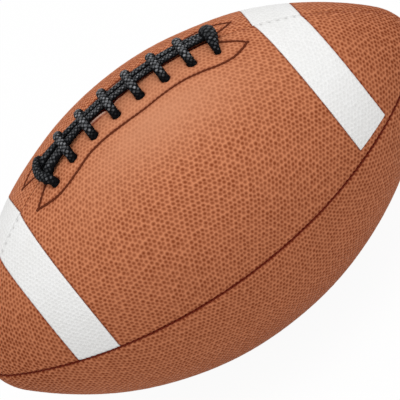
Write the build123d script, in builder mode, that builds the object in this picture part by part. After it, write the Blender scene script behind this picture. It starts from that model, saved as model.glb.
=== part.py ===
from build123d import *
from math import asin, cos, degrees, radians, sin, sqrt, tan
import os

os.makedirs("parts", exist_ok=True)

# Blown-up ball: the long axis lies along X, the lacing faces +Z, the belly rests at Z = 0
ball_length = 273.0
belly_diameter = 156.0
tip_radius = 30.5

# Layers of the wall, from the outside in
cover_thickness = 2.6
lining_thickness = 1.2
facing_thickness = 1.4
bladder_wall = 1.0
layer_gap = 0.2
bladder_gap = 0.3

# Sewn seams between the four cover panels
seam_gap = 0.3
seam_groove_radius = 1.1
seam_thread_radius = 0.5
seam_thread_gap = 0.1
seam_thread_tip_trim = 2.0
thread_sides = 6
lining_seam_margin = 0.6

# Pale bands let into the two panels that meet at the lacing
stripe_front_tip_distance = 39.7
stripe_front_width = 20.4
stripe_rear_tip_distance = 40.5
stripe_rear_width = 21.2
stripe_thickness = 0.8
stripe_gap = 0.1
stripe_seam_margin = 1.4

# Braided lace: rungs across two long strands that lie side by side
lace_radius = 2.1
lace_sides = 8
lace_gap = 0.1
rung_count = 8
rung_pitch = 15.0
rung_hole_offset = 9.6
rung_shoulder_height = 3.8
rung_slack = 0.4
rung_lean = 0.95
lace_fold_radius = 3.6
lace_hole_clearance = 0.25
strand_dive = 54.0
strand_end_radius = 4.2
strand_rise = 0.2
strand_stop_count = 6
strand_stop_spacing = 15.5
lace_bend_share = 0.45
lace_inner_depth = 10.0
lace_tail = 10.0
slit_end_length = 7.2
slit_end_radius = 1.5
slit_end_inset = 0.9

# Reinforcing facings sewn under the panels on both sides of the lacing
facing_row_offset = 18.6
facing_row_half = 47.0
facing_tip = 66.3
facing_tip_offset = 12.0
facing_shoulder = 58.5
facing_shoulder_offset = 17.9
facing_notch = 57.6
facing_notch_offset = 5.2
facing_margin = 3.0
facing_thread_radius = 0.4
facing_thread_gap = 0.1
facing_thread_break = 0.6

# Tongue between the lacing and the bladder
guard_thickness = 1.2
guard_half_length = 72.0
guard_half_width = 19.0
guard_clearance = 0.3
guard_channel_margin = 4.0

# Inflation valve, in the middle of the rear lower panel
valve_angle = 315.0
valve_nose_radius = 3.0
valve_nose_depth = 0.5
valve_neck_radius = 4.0
valve_flange_radius = 8.0
valve_flange_thickness = 1.4
valve_stem_length = 12.0
valve_core_radius = 1.8
valve_core_gap = 0.1
valve_clearance = 0.3
needle_radius = 1.05
cut_overrun = 4.0

# Profile of the ball: one long arc over the belly, with a smaller tangent arc at each tip
belly_radius = belly_diameter / 2
half_length = ball_length / 2
tip_centre = half_length - tip_radius
main_radius = (tip_centre**2 + belly_radius**2 - tip_radius**2) / (2 * (belly_radius - tip_radius))
main_centre = belly_radius - main_radius
blend_angle = degrees(asin(tip_centre / (main_radius - tip_radius)))
ball_axis = Axis((0, 0, belly_radius), (1, 0, 0))
quarter_turn = 90

# Depths of the layers below the outside of the cover
lining_depth = cover_thickness + layer_gap
facing_depth = lining_depth + lining_thickness + layer_gap
bladder_depth = lining_depth + lining_thickness + bladder_gap
guard_depth = lace_inner_depth + lace_radius + guard_clearance
channel_depth = guard_depth + guard_thickness + bladder_gap


def girth_radius(x):
    """Outer radius of the ball at x, on the long arc"""
    return sqrt(main_radius**2 - x**2) + main_centre


def cover_point(x, sideways, depth=0):
    """Point on the cover at x, a surface distance sideways from the lace seam, positive to the rear"""
    angle = sideways / girth_radius(x)
    radius = girth_radius(x) - depth
    return (x, radius * sin(angle), belly_radius + radius * cos(angle))


def axial_plane(angle):
    """Plane through the long axis whose Y direction points out at the angle, 0 to the rear and 90 up"""
    turn = radians(angle)
    return Plane(origin=(0, 0, belly_radius), x_dir=(1, 0, 0), z_dir=(0, -sin(turn), cos(turn)))


def half_lens(depth):
    """Half section of the ball, drawn in by the depth, with its flat side on the long axis"""
    with BuildSketch() as section:
        with BuildLine():
            CenterArc((tip_centre, 0), tip_radius - depth, 0, 90 - blend_angle)
            CenterArc((0, main_centre), main_radius - depth, 90 - blend_angle, 2 * blend_angle)
            CenterArc((-tip_centre, 0), tip_radius - depth, 90 + blend_angle, 90 - blend_angle)
            Line((depth - half_length, 0), (half_length - depth, 0))
        make_face()
    return section.sketch_local


def layer_section(outer_depth, inner_depth):
    """Half section of one layer of the wall"""
    with BuildSketch() as section:
        add(half_lens(outer_depth))
        add(half_lens(inner_depth), mode=Mode.SUBTRACT)
    return section.sketch_local


def band_section(outer_depth, inner_depth, low_x, high_x):
    """Part of a layer's half section between two places along the long axis"""
    with BuildSketch() as section:
        add(layer_section(outer_depth, inner_depth))
        with Locations(((low_x + high_x) / 2, belly_radius / 2)):
            Rectangle(high_x - low_x, belly_diameter, mode=Mode.INTERSECT)
    return section.sketch_local


def seam_angle(margin, x=0):
    """Angle at the long axis of a margin on the cover beside a seam"""
    return degrees(margin / girth_radius(x))


def seam_cord(angle, depth, radius, sides, start_x, tip_trim):
    """Cord along a seam from start_x to the right tip and, mirrored, to the left tip"""
    start = degrees(asin(start_x / main_radius))
    trim = degrees(tip_trim / tip_radius)
    with BuildPart() as cord:
        with BuildLine(axial_plane(angle)) as path:
            CenterArc((0, main_centre), main_radius - depth, 90 - start, start - blend_angle)
            CenterArc((tip_centre, 0), tip_radius - depth, 90 - blend_angle, blend_angle + trim - 90)
        with BuildSketch(Plane(origin=path.line @ 0, z_dir=path.line % 0)):
            RegularPolygon(radius, sides)
        sweep(path=path.line)
        mirror(about=Plane.YZ)
    return cord.part


# Lacing: the two strands, the rungs over them and the runs that join the rungs inside the ball
strand_offset = lace_radius + lace_gap / 2
strand_height = lace_radius + lace_gap
rung_top_height = strand_height + 2 * lace_radius + rung_slack
lace_hole_radius = lace_radius + lace_hole_clearance
rung_places = [rung_pitch * (i - (rung_count - 1) / 2) for i in range(rung_count)]
strand_stops = [strand_stop_spacing * (i - (strand_stop_count - 1) / 2) for i in range(strand_stop_count)]


def lace_point(x, sideways, height):
    """Place of the lace at x, to one side of the seam and above the cover over the seam"""
    return Vector(x, sideways, belly_radius + girth_radius(x) + height)


def rung_points(x):
    """Corners of one rung, from below the front panel, over the strands and below the rear panel"""
    foot = lace_point(x, rung_hole_offset + rung_lean, -lace_inner_depth)
    shoulder = lace_point(x, rung_hole_offset - rung_lean, rung_shoulder_height)
    top = lace_point(x, strand_offset, rung_top_height)
    rear = [top, shoulder, foot]
    front = [Vector(p.X, -p.Y, p.Z) for p in reversed(rear)]
    return front + rear


def strand_points(side):
    """Corners of one strand, from its foot at the left end of the slit to its foot at the right end"""
    y = side * strand_offset
    top = strand_height + strand_rise
    left = [lace_point(-strand_dive, y, -lace_inner_depth), lace_point(-strand_dive, y, top)]
    right = [lace_point(strand_dive, y, top), lace_point(strand_dive, y, -lace_inner_depth)]
    return left + [lace_point(x, y, top) for x in strand_stops] + right


front_tail = lace_point(-strand_dive - lace_tail, -strand_offset, -lace_inner_depth)
rear_tail = lace_point(strand_dive + lace_tail, strand_offset, -lace_inner_depth)
lace_route = [front_tail] + strand_points(-1)
for x in reversed(rung_places):
    lace_route += rung_points(x)
lace_route += strand_points(1) + [rear_tail]


def corner_radius(before, corner, after):
    """Bend of the lace at a corner: a tight fold inside the ball and at the slit, else as wide as fits"""
    depth = belly_radius + girth_radius(corner.X) - corner.Z
    if depth > 0:
        return lace_fold_radius
    if abs(corner.X) == strand_dive:
        return strand_end_radius
    turn = (corner - before).get_angle(after - corner)
    shorter = min((corner - before).length, (after - corner).length)
    return lace_bend_share * shorter / tan(radians(turn / 2))


lace_radii = [corner_radius(*lace_route[i - 1 : i + 2]) for i in range(1, len(lace_route) - 1)]

with BuildPart() as lace:
    with BuildLine() as route:
        FilletPolyline(*lace_route, radius=lace_radii)
    with BuildSketch(Plane(origin=route.line @ 0, z_dir=route.line % 0)) as braid:
        RegularPolygon(lace_radius, lace_sides)
    sweep(path=route.line)
lace.part.label = "lace"
export_step(lace.part, "parts/lace.step")
print("lace radii", [round(radius, 2) for radius in lace_radii])
lace_length = sum(edge.length for edge in route.edges())
print("lace length", round(lace_length, 1), "volume over section times length",
      round(lace.part.volume / (braid.sketch.area * lace_length), 4))


def lace_leg_planes(side):
    """Planes across the legs of the rungs on one side, each at the cover with Z along the leg"""
    planes = []
    for x in rung_places:
        foot = lace_point(x, side * (rung_hole_offset + rung_lean), -lace_inner_depth)
        shoulder = lace_point(x, side * (rung_hole_offset - rung_lean), rung_shoulder_height)
        planes.append(Plane(origin=(foot + shoulder) / 2, z_dir=shoulder - foot))
    return planes


with BuildPart() as slit_ends:
    with BuildSketch(Plane.XY.offset(belly_radius)):
        with Locations((strand_dive - slit_end_inset, 0), (slit_end_inset - strand_dive, 0)):
            RectangleRounded(slit_end_length, 4 * strand_offset + lace_hole_clearance, slit_end_radius)
    extrude(amount=belly_radius + cut_overrun)

# Stitched outline of each facing: a long row beside the lacing, two curved ends and two notch rows


def facing_rows(side, depth):
    """Rows of the outline as edges: the long row, the end curves and the notch rows"""
    long_half = facing_row_half - facing_thread_break
    with BuildLine() as long_row:
        ThreePointArc(
            cover_point(-long_half, side * facing_row_offset, depth),
            cover_point(0, side * facing_row_offset, depth),
            cover_point(long_half, side * facing_row_offset, depth),
        )
    rows = [long_row.line]
    for end in (-1, 1):
        start = cover_point(end * facing_row_half, side * facing_row_offset, depth)
        shoulder = cover_point(end * facing_shoulder, side * facing_shoulder_offset, depth)
        tip = cover_point(end * facing_tip, side * facing_tip_offset, depth)
        notch_start = cover_point(end * (facing_tip - facing_thread_break),
                                  side * (facing_tip_offset - facing_thread_break), depth)
        notch_middle = cover_point(end * (facing_tip + facing_notch) / 2,
                                   side * (facing_tip_offset + facing_notch_offset) / 2, depth)
        notch_end = cover_point(end * facing_notch, side * facing_notch_offset, depth)
        with BuildLine() as curved_end:
            ThreePointArc(start, shoulder, tip)
        with BuildLine() as notch_row:
            ThreePointArc(notch_start, notch_middle, notch_end)
        rows += [curved_end.line, notch_row.line]
    return rows


def facing_cords(side, depth, radius, sides):
    """Cords along the stitched outline of one facing"""
    with BuildPart() as cords:
        for row in facing_rows(side, depth):
            with BuildSketch(Plane(origin=row @ 0, z_dir=row % 0)):
                RegularPolygon(radius, sides)
            sweep(path=row)
    return cords.part


# Cover panels: four quarter shells, grooved along the seams
seam_half_angle = seam_angle(seam_gap / 2)
panel_arc = quarter_turn - 2 * seam_half_angle
seam_grooves = {
    angle: seam_cord(angle, 0, seam_groove_radius, 2 * thread_sides, 0, 0)
    for angle in (0, quarter_turn, 2 * quarter_turn, 3 * quarter_turn)
}
quarters = {"top_rear": 0, "top_front": 1, "bottom_front": 2, "bottom_rear": 3}
lace_sides_of = {"top_rear": 1, "top_front": -1}
valve_plane = Plane(
    origin=(0, belly_radius * cos(radians(valve_angle)), belly_radius * (1 + sin(radians(valve_angle)))),
    x_dir=(1, 0, 0),
    z_dir=(0, cos(radians(valve_angle)), sin(radians(valve_angle))),
)
stripe_sizes = {
    "top_front": (stripe_front_tip_distance, stripe_front_width),
    "top_rear": (stripe_rear_tip_distance, stripe_rear_width),
}
stripe_margin_angle = seam_angle(stripe_seam_margin, half_length - stripe_front_tip_distance)


def stripe_spans(quarter):
    """Places along X of the two stripes on one of the lace panels, measured from the tips of the ball"""
    tip_distance, width = stripe_sizes[quarter]
    outer = half_length - tip_distance
    inner = outer - width
    return {"left": (-outer, -inner), "right": (inner, outer)}


for quarter, turns in quarters.items():
    start = turns * quarter_turn
    with BuildPart() as panel:
        with BuildSketch(axial_plane(start + seam_half_angle)):
            add(layer_section(0, cover_thickness))
        revolve(axis=ball_axis, revolution_arc=panel_arc)
        add(seam_grooves[start], mode=Mode.SUBTRACT)
        add(seam_grooves[(start + quarter_turn) % (4 * quarter_turn)], mode=Mode.SUBTRACT)
        if quarter in lace_sides_of:
            side = lace_sides_of[quarter]
            with Locations(*lace_leg_planes(side)):
                Cylinder(lace_hole_radius, 2 * lace_inner_depth, mode=Mode.SUBTRACT)
            add(slit_ends.part, mode=Mode.SUBTRACT)
            recess_angle = stripe_margin_angle / 2
            for low_x, high_x in stripe_spans(quarter).values():
                with BuildSketch(axial_plane(start + recess_angle)):
                    add(band_section(-cut_overrun, stripe_thickness + stripe_gap,
                                     low_x - stripe_gap, high_x + stripe_gap))
                revolve(axis=ball_axis, revolution_arc=quarter_turn - 2 * recess_angle,
                        mode=Mode.SUBTRACT)
            add(facing_cords(side, 0, facing_thread_radius + facing_thread_gap, thread_sides),
                mode=Mode.SUBTRACT)
        if quarter == "bottom_rear":
            with Locations(valve_plane):
                Cylinder(valve_nose_radius + valve_clearance, 2 * cut_overrun, mode=Mode.SUBTRACT)
    panel.part.label = "panel_" + quarter
    export_step(panel.part, "parts/panel_" + quarter + ".step")

# Linings: layered cloth glued inside each panel, cut short of the seams
lining_margin_angle = seam_angle(lining_seam_margin)
for quarter, turns in quarters.items():
    with BuildPart() as lining:
        with BuildSketch(axial_plane(turns * quarter_turn + lining_margin_angle)):
            add(layer_section(lining_depth, lining_depth + lining_thickness))
        revolve(axis=ball_axis, revolution_arc=quarter_turn - 2 * lining_margin_angle)
        if quarter in lace_sides_of:
            with Locations(*lace_leg_planes(lace_sides_of[quarter])):
                Cylinder(lace_hole_radius, 2 * lace_inner_depth, mode=Mode.SUBTRACT)
            add(slit_ends.part, mode=Mode.SUBTRACT)
        if quarter == "bottom_rear":
            with Locations(valve_plane.offset(-lining_depth)):
                Cylinder(valve_neck_radius + valve_clearance, 2 * cut_overrun, mode=Mode.SUBTRACT)
    lining.part.label = "lining_" + quarter
    export_step(lining.part, "parts/lining_" + quarter + ".step")

# Facings: tough strips under the linings that the lace pulls against, with notched ends
for quarter, side in lace_sides_of.items():
    with BuildPart() as facing:
        with BuildSketch(axial_plane(0)):
            add(layer_section(facing_depth, facing_depth + facing_thickness))
        revolve(axis=ball_axis, revolution_arc=2 * quarter_turn)
        with BuildSketch(Plane.XY.offset(belly_radius)):
            with BuildLine():
                Polyline(
                    (facing_notch, side * lining_seam_margin),
                    (facing_tip + facing_margin, side * facing_tip_offset),
                    (facing_shoulder, side * (facing_shoulder_offset + facing_margin)),
                    (-facing_shoulder, side * (facing_shoulder_offset + facing_margin)),
                    (-facing_tip - facing_margin, side * facing_tip_offset),
                    (-facing_notch, side * lining_seam_margin),
                    close=True,
                )
            make_face()
        extrude(amount=belly_radius, mode=Mode.INTERSECT)
        with Locations(*lace_leg_planes(side)):
            Cylinder(lace_hole_radius, 2 * lace_inner_depth, mode=Mode.SUBTRACT)
        add(slit_ends.part, mode=Mode.SUBTRACT)
    name = "lace_facing_" + quarter.split("_")[1]
    facing.part.label = name
    export_step(facing.part, "parts/" + name + ".step")

# Tongue that keeps the lace off the bladder
guard_angle = degrees(guard_half_width / (belly_radius - guard_depth))
with BuildPart() as lace_guard:
    with BuildSketch(axial_plane(quarter_turn - guard_angle)):
        add(band_section(guard_depth, guard_depth + guard_thickness, -guard_half_length, guard_half_length))
    revolve(axis=ball_axis, revolution_arc=2 * guard_angle)
lace_guard.part.label = "lace_guard"
export_step(lace_guard.part, "parts/lace_guard.step")

# Air space of the bladder, drawn in under the lacing
channel_angle = degrees((guard_half_width + guard_channel_margin) / (belly_radius - guard_depth))
channel_half = guard_half_length + guard_channel_margin


def bladder_form(inset):
    """Solid form of the bladder, drawn in by the inset all round"""
    inset_angle = channel_angle + degrees(inset / (belly_radius - guard_depth))
    with BuildPart() as form:
        with BuildSketch(axial_plane(0)):
            add(half_lens(bladder_depth + inset))
        revolve(axis=ball_axis)
        with BuildSketch(axial_plane(quarter_turn - inset_angle)):
            add(band_section(0, channel_depth + inset, -channel_half - inset, channel_half + inset))
        revolve(axis=ball_axis, revolution_arc=2 * inset_angle, mode=Mode.SUBTRACT)
    return form.part


with BuildPart() as bladder:
    add(bladder_form(0))
    add(bladder_form(bladder_wall), mode=Mode.SUBTRACT)
    with Locations(valve_plane.offset(-bladder_depth)):
        Cylinder(valve_neck_radius + valve_clearance, 2 * cut_overrun, mode=Mode.SUBTRACT)
bladder.part.label = "bladder"
export_step(bladder.part, "parts/bladder.step")

# Valve: a rubber body bonded into the bladder wall, with a softer core that closes on the needle
bladder_inside = belly_radius - bladder_depth - bladder_wall
flange_sag = bladder_inside - sqrt(bladder_inside**2 - valve_flange_radius**2)
flange_depth = bladder_depth + bladder_wall + flange_sag + layer_gap
stem_depth = flange_depth + valve_stem_length
neck_depth = lining_depth + layer_gap
with BuildPart() as valve_body:
    with BuildSketch(valve_plane.offset(-valve_nose_depth)):
        Circle(valve_nose_radius)
    extrude(amount=-(neck_depth - valve_nose_depth))
    with BuildSketch(valve_plane.offset(-neck_depth)):
        Circle(valve_neck_radius)
    extrude(amount=-(stem_depth - neck_depth))
    with BuildSketch(valve_plane.offset(-flange_depth)):
        Circle(valve_flange_radius)
    extrude(amount=-valve_flange_thickness)
    with BuildSketch(valve_plane):
        Circle(valve_core_radius + valve_core_gap)
    extrude(amount=-stem_depth, mode=Mode.SUBTRACT)
valve_body.part.label = "valve_body"
export_step(valve_body.part, "parts/valve_body.step")

with BuildPart() as valve_core:
    with BuildSketch(valve_plane.offset(-valve_nose_depth)):
        Circle(valve_core_radius)
        Circle(needle_radius, mode=Mode.SUBTRACT)
    extrude(amount=-(stem_depth - valve_nose_depth))
valve_core.part.label = "valve_core"
export_step(valve_core.part, "parts/valve_core.step")

# Stripes: pale bands let flush into the lace panels
for quarter in lace_sides_of:
    start = quarters[quarter] * quarter_turn
    for end, (low_x, high_x) in stripe_spans(quarter).items():
        with BuildPart() as stripe:
            with BuildSketch(axial_plane(start + stripe_margin_angle)):
                add(band_section(0, stripe_thickness, low_x, high_x))
            revolve(axis=ball_axis, revolution_arc=quarter_turn - 2 * stripe_margin_angle)
        name = "stripe_" + end + "_" + quarter.split("_")[1]
        stripe.part.label = name
        export_step(stripe.part, "parts/" + name + ".step")

# Seam threads in the grooves; the top one stops at both ends of the lacing slit
seam_thread_depth = seam_groove_radius - seam_thread_gap - seam_thread_radius
seam_thread_starts = {
    "rear": (0, 0),
    "top": (quarter_turn, facing_tip),
    "front": (2 * quarter_turn, 0),
    "bottom": (3 * quarter_turn, 0),
}
for place, (angle, start_x) in seam_thread_starts.items():
    seam_thread = seam_cord(angle, seam_thread_depth, seam_thread_radius, thread_sides, start_x,
                            seam_thread_tip_trim)
    seam_thread.label = "seam_thread_" + place
    export_step(seam_thread, "parts/seam_thread_" + place + ".step")

# Threads of the stitched outline beside the lacing
for quarter, side in lace_sides_of.items():
    facing_thread = facing_cords(side, 0, facing_thread_radius, thread_sides)
    name = "facing_thread_" + quarter.split("_")[1]
    facing_thread.label = name
    export_step(facing_thread, "parts/" + name + ".step")
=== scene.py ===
from math import asin, cos, pi, radians, sin, sqrt

import bpy
import numpy as np
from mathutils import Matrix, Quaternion, Vector


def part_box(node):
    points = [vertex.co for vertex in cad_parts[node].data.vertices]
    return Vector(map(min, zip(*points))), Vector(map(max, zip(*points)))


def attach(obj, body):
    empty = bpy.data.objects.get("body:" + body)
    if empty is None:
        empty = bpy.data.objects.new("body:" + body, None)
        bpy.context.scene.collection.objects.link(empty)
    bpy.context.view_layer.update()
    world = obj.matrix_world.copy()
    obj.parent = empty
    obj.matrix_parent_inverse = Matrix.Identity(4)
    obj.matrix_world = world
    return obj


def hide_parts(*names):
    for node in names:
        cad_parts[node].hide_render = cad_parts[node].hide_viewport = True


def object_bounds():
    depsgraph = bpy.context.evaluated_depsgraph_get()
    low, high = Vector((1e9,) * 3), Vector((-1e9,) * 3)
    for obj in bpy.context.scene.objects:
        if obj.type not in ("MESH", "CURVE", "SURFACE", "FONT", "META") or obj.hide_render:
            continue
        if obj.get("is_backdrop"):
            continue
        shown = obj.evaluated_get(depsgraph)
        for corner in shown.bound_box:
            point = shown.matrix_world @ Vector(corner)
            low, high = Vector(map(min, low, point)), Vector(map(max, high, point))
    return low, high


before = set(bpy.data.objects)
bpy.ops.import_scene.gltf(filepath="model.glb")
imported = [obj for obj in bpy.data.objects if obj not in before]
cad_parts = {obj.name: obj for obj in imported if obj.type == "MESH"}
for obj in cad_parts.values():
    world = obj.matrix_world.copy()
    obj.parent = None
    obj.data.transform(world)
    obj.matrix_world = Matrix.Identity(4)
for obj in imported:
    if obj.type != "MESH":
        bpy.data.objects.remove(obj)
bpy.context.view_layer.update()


# Bladder: a butyl rubber bag that holds the air, pressed against the linings.
# It is moulded, so its skin is matt with a faint bloom.


class Signal:
    """A value running through a material's nodes, on which arithmetic adds Math nodes"""

    def __init__(self, tree, socket=None):
        self.tree = tree
        self.socket = socket

    def node(self, kind, settings=None, inputs=None, output=0):
        """Adds a node of any kind, with its settings made first, and gives one of its outputs"""
        made = self.tree.nodes.new(kind)
        for key, value in (settings or {}).items():
            setattr(made, key, value)
        for key, value in (inputs or {}).items():
            if isinstance(value, Signal):
                self.tree.links.new(value.socket, made.inputs[key])
            else:
                made.inputs[key].default_value = value
        return Signal(self.tree, None if output is None else made.outputs[output])

    def math(self, operation, first, second=0.0):
        return self.node("ShaderNodeMath", {"operation": operation}, {0: first, 1: second})

    def __add__(self, other):
        return self.math("ADD", self, other)

    def __sub__(self, other):
        return self.math("SUBTRACT", self, other)

    def __rsub__(self, other):
        return self.math("SUBTRACT", other, self)

    def __mul__(self, other):
        return self.math("MULTIPLY", self, other)

    def clip(self):
        return self.node("ShaderNodeClamp", {}, {0: self})

    def part(self, axis):
        """One part of this vector or colour"""
        return self.node("ShaderNodeSeparateXYZ", {}, {0: self}, axis)

    def beside(self, output):
        """Another output of the node that this value comes from"""
        return Signal(self.tree, self.socket.node.outputs[output])

    def vector(self, operation, other, output=0):
        return self.node("ShaderNodeVectorMath", {"operation": operation}, {0: self, 1: other}, output)

    def cosine(self):
        return self.math("COSINE", self)

    def between(self, low, high):
        """Colour that runs from low to high as this value runs from 0 to 1"""
        inputs = {0: self, 6: low, 7: high}
        return self.node("ShaderNodeMix", {"data_type": "RGBA"}, inputs, 2)

    def tint(self, colour):
        """This colour multiplied by another colour"""
        settings = {"data_type": "RGBA", "blend_type": "MULTIPLY"}
        return self.node("ShaderNodeMix", settings, {0: 1.0, 6: self, 7: colour}, 2)

    __radd__ = __add__
    __rmul__ = __mul__


def start_finish(name):
    """A new material, its shader and a signal to start its nodes from"""
    material = bpy.data.materials.new(name)
    material.use_nodes = True
    shader = material.node_tree.nodes["Principled BSDF"]
    return material, shader, Signal(material.node_tree)


def feed(shader, socket, signal):
    """Links a signal to one of a shader's sockets"""
    signal.tree.links.new(signal.socket, shader.inputs[socket])


def grain(start, scale, detail=3.0):
    """Noise fixed to the object, with its scale in lumps a metre"""
    place = start.node("ShaderNodeTexCoord", {}, {}, "Object")
    return start.node("ShaderNodeTexNoise", {}, {"Vector": place, "Scale": scale, "Detail": detail})


def relief(start, height, distance, strength=1.0, normal=None):
    """Bump of a height signal, with its distance in metres"""
    inputs = {"Height": height, "Distance": distance, "Strength": strength}
    if normal is not None:
        inputs["Normal"] = normal
    return start.node("ShaderNodeBump", {}, inputs)


def dress(node_names, material):
    """Gives CAD nodes a material in place of their plain one"""
    for node_name in node_names:
        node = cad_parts[node_name]
        node.data.materials.clear()
        node.data.materials.append(material)


rubber, shader, start = start_finish("bladder_rubber")
bloom = grain(start, 90.0)
feed(shader, "Base Color", bloom.between((0.025, 0.025, 0.027, 1), (0.06, 0.06, 0.062, 1)))
feed(shader, "Roughness", 0.55 + bloom * 0.25)
feed(shader, "Normal", relief(start, grain(start, 1500.0), 0.0001))
dress(["bladder"], rubber)


# Valve: a moulded rubber body bonded into the bladder wall, with a softer core that closes
# by itself behind the pump needle. Only its nose shows, in the hole of the rear lower panel.

valve_rubber, shader, start = start_finish("valve_rubber")
skin = grain(start, 700.0)
feed(shader, "Base Color", skin.between((0.018, 0.018, 0.019, 1), (0.04, 0.04, 0.042, 1)))
feed(shader, "Roughness", 0.38 + skin * 0.2)
feed(shader, "Normal", relief(start, grain(start, 4000.0), 0.00005))
dress(["valve_body", "valve_core"], valve_rubber)


# Linings: layered plain-weave cloth, glued to the back of each panel so that the ball keeps
# its shape. The threads run along and around the ball.

cloth, shader, start = start_finish("lining_cloth")
place = start.node("ShaderNodeTexCoord", {}, {}, "Object")
weave = {}
threads_a_metre = 1100.0
for axis in "XYZ":
    weave[axis] = (place.part(axis) * (2 * pi * threads_a_metre)).cosine()
woven = 0.5 + weave["X"] * (weave["Y"] + weave["Z"]) * 0.25
feed(shader, "Base Color", woven.between((0.42, 0.39, 0.33, 1), (0.62, 0.59, 0.52, 1)))
feed(shader, "Roughness", 0.95 - woven * 0.15)
feed(shader, "Normal", relief(start, woven, 0.0002))
dress([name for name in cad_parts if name.startswith("lining_")], cloth)


# Facings and tongue: strips of split leather behind the lacing. The facings are sewn under
# the panels and take the pull of the lace; the tongue keeps the lace off the bladder.

split_leather, shader, start = start_finish("split_leather")
nap = grain(start, 900.0, 6.0)
feed(shader, "Base Color", nap.between((0.12, 0.07, 0.04, 1), (0.27, 0.17, 0.11, 1)))
feed(shader, "Roughness", 0.8 + nap * 0.2)
feed(shader, "Normal", relief(start, nap, 0.0003))
dress(["lace_facing_front", "lace_facing_rear", "lace_guard"], split_leather)


# Cover panels: four pieces of tan composite leather, embossed with close round pits, sewn
# inside out along their edges so that the edges roll inwards at the seams.

cover_low, cover_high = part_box("panel_top_front")
belly_radius = cover_high.z - cover_low.z
axis_height = cover_low.z
half_length = (cover_high.x - cover_low.x) / 2
tip_radius = 0.0305
cover_thickness = 0.0026
tip_centre = half_length - tip_radius
main_radius = (tip_centre**2 + belly_radius**2 - tip_radius**2) / (2 * (belly_radius - tip_radius))
main_centre = belly_radius - main_radius
blend_turn = asin(tip_centre / (main_radius - tip_radius))
main_reach = main_radius * blend_turn
half_reach = main_reach + tip_radius * (pi / 2 - blend_turn)
quarter = pi / 2
front_seam_drift = (-0.7, 0.367, 0.0131)
least_slope = 1e-4


def profile(s):
    """Place along the axis, radius and slope of the cover at a surface distance s from the middle"""
    size = np.abs(s)
    on_main = size < main_reach
    turn = np.where(on_main, size / main_radius, blend_turn + (size - main_reach) / tip_radius)
    x = np.where(on_main, main_radius * np.sin(turn), tip_centre + tip_radius * np.sin(turn))
    r = np.where(on_main, main_radius * np.cos(turn) + main_centre, tip_radius * np.cos(turn))
    return np.sign(s) * x, r, np.sign(s) * turn


def reach_of(x):
    """Surface distance from the middle of the ball to a place along the axis"""
    return main_radius * asin(x / main_radius)


def surface(s, phi, lift):
    """Points over the cover at a surface distance s and an angle phi, raised by lift. The front seam runs
    slightly askew to the lacing, as on a ball sewn by hand, and the panels beside it follow."""
    x, r, turn = profile(s)
    drift = np.polyval(front_seam_drift, s)
    phi = phi + drift * np.clip(-np.cos(phi), 0, 1) ** 2
    r = r + lift * np.cos(turn)
    return np.stack([x + lift * np.sin(turn), r * np.cos(phi), axis_height + r * np.sin(phi)], axis=-1)


def flatten(s, share):
    """Places of a panel's points on the flat hide that it was cut from, where its hoops open into arcs"""
    r, turn = profile(s)[1:]
    slope = np.maximum(np.abs(np.sin(turn)), least_slope)
    swing = (share - 0.5) * quarter * slope
    along = s + np.sign(s) * r / slope * (1 - np.cos(swing))
    return np.stack([along, r / slope * np.sin(swing)], axis=-1)


unwrap_scale = 2.5
pit_spacing = 0.00242
pit_radius = 0.00088
pit_size_spread = 0.00012
pit_slope = 0.00095
pit_scatter = 0.19
pit_faint_share = 0.75
pit_depth = 0.00020
pit_row_shift = 40.5
# Waves that bend the rows of pits: height in mm, radians a mm across and along the row, and start
pit_waves_u = [(1.6, 0.07, 0.03, 1.3), (0.15, 0.43, -0.27, 0.4)]
pit_waves_v = [(1.6, 0.08, -0.03, 2.1), (0.15, 0.47, 0.23, 0.7)]


def pit_field(start, spot):
    """Emboss of the hide on its unwrap: round pits in bent, uneven rows, 1 in a pit and 0 on the ridges"""
    u = (spot.part("X") - 0.5) * (1000 / unwrap_scale)
    v = (spot.part("Y") - 0.5) * (1000 / unwrap_scale)
    bent_u, bent_v = u, v
    for height, across, along, begin in pit_waves_u:
        bent_u = bent_u + (v * across + u * along + begin).cosine() * height
    for height, across, along, begin in pit_waves_v:
        bent_v = bent_v + (u * across + v * along + begin).cosine() * height
    cell_width = pit_spacing * 1000
    cell_size = (cell_width, cell_width * sqrt(3), 1)
    pits = []
    for shift in (0.0, pit_row_shift):
        x = bent_u * (1 / cell_size[0]) + shift
        y = bent_v * (1 / cell_size[1]) + shift
        cell = start.node("ShaderNodeCombineXYZ", {}, {"X": x, "Y": y})
        layout = {"Vector": cell, "Scale": 1.0, "Randomness": pit_scatter}
        middle = start.node("ShaderNodeTexVoronoi", {"voronoi_dimensions": "2D"}, layout, "Position")
        offset = cell.vector("SUBTRACT", middle).vector("MULTIPLY", cell_size)
        distance = offset.vector("LENGTH", (0, 0, 0), "Value")
        chance = middle.beside("Color")
        radius = chance.part("X") * (pit_size_spread * 1000) + (pit_radius - pit_size_spread / 2) * 1000
        strength = pit_faint_share + chance.part("Y") * (1 - pit_faint_share)
        pits.append(((radius - distance) * (0.001 / pit_slope) + 0.5).clip() * strength)
    return start.math("MAXIMUM", *pits)


def smooth_rise(value, low, high):
    """0 under low, 1 over high and an even bend between them"""
    t = np.clip((value - low) / (high - low), 0, 1)
    return t * t * (3 - 2 * t)


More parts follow.
